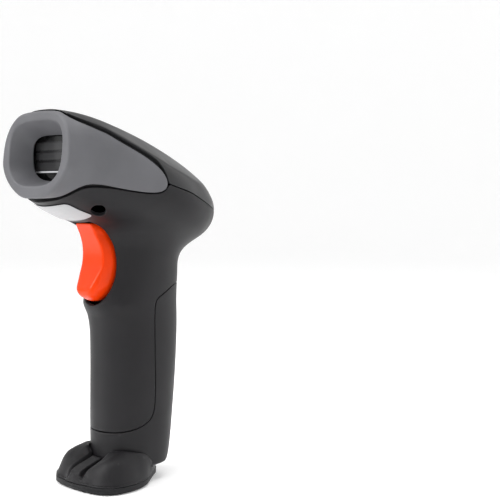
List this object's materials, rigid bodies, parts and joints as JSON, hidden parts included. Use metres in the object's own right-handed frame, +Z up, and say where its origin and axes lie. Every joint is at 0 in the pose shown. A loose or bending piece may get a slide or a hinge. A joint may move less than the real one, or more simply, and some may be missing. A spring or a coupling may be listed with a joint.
{
  "type": "handheld barcode scanner",
  "caption": "Pistol-grip cordless barcode scanner with a funnel nose, side wings, finger trigger and a hoof-shaped foot that lets it stand upright.",
  "frame": {"origin": "on the surface it stands on, under the middle of the grip, on the rubber sole", "axes": "+Z up along the grip, -Y towards the nose that reads the code, +X across to the scanner's left as seen from its front"},
  "size_m": [0.0628, 0.0904, 0.1549],
  "materials": {
    "bezel_grey": "satin moulded grey plastic with a fine spark texture",
    "cover_black": "satin moulded near-black plastic",
    "housing_charcoal": "matte charcoal plastic with a fine moulded grain",
    "base_black": "matte black plastic",
    "rubber_black": "soft black rubber",
    "label_paper": "blank white film label",
    "clear_plastic": "translucent light pipe",
    "trigger_orange": "glossy orange plastic",
    "steel": "plated steel",
    "circuit_board": "green solder mask",
    "component_black": "black moulded component plastic",
    "component_white": "white component plastic",
    "window_glass": "clear coated window",
    "aimer_red": "red tinted aiming lamp",
    "cell_wrap": "shrink-wrapped cell"
  },
  "bodies": {
    "casing": {"nose_bezel": "bezel_grey", "top_cover": "cover_black", "main_housing": "housing_charcoal", "rear_grip_cover": "housing_charcoal", "foot_shell": "housing_charcoal", "base_plate": "base_black", "sole_pad": "rubber_black", "chin_label": "label_paper", "indicator_lens": "clear_plastic", "trigger_pin": "steel", "trigger_spring": "steel", "switch_board": "circuit_board", "switch_body": "component_black", "scan_window": "window_glass", "window_gasket": "rubber_black", "light_baffle": "component_black", "engine_body": "component_black", "lens_barrel": "component_black", "lens": "window_glass", "lamp_left": "component_white", "lamp_right": "component_white", "aimer": "aimer_red", "engine_board": "circuit_board", "main_board": "circuit_board", "shield_can": "steel", "radio_module": "steel", "beeper": "component_black", "battery_cell": "cell_wrap", "battery_cradle": "component_black", "contact_spring": "steel", "charging_board": "circuit_board", "charging_socket": "steel", "head_screw_left": "steel", "head_screw_right": "steel", "base_screw_front": "steel", "base_screw_rear": "steel"},
    "trigger": {"trigger": "trigger_orange"},
    "plunger": {"switch_plunger": "component_white"}
  },
  "joints": [
    {"name": "trigger_pull", "type": "hinge", "parent": "casing", "child": "trigger", "pos_m": [0, -0.0132, 0.1056], "axis": [1, 0, 0], "range_deg": [0, 4.5], "stiffness_Nm_per_rad": 0.1, "springref_deg": -2.86},
    {"name": "plunger_press", "type": "slide", "parent": "casing", "child": "plunger", "axis": [0, 1, 0], "range_m": [0, 0.0014]}
  ],
  "couplings": [
    {"joint": "plunger_press", "follows": "trigger_pull", "m_per_rad": 0.0166}
  ]
}
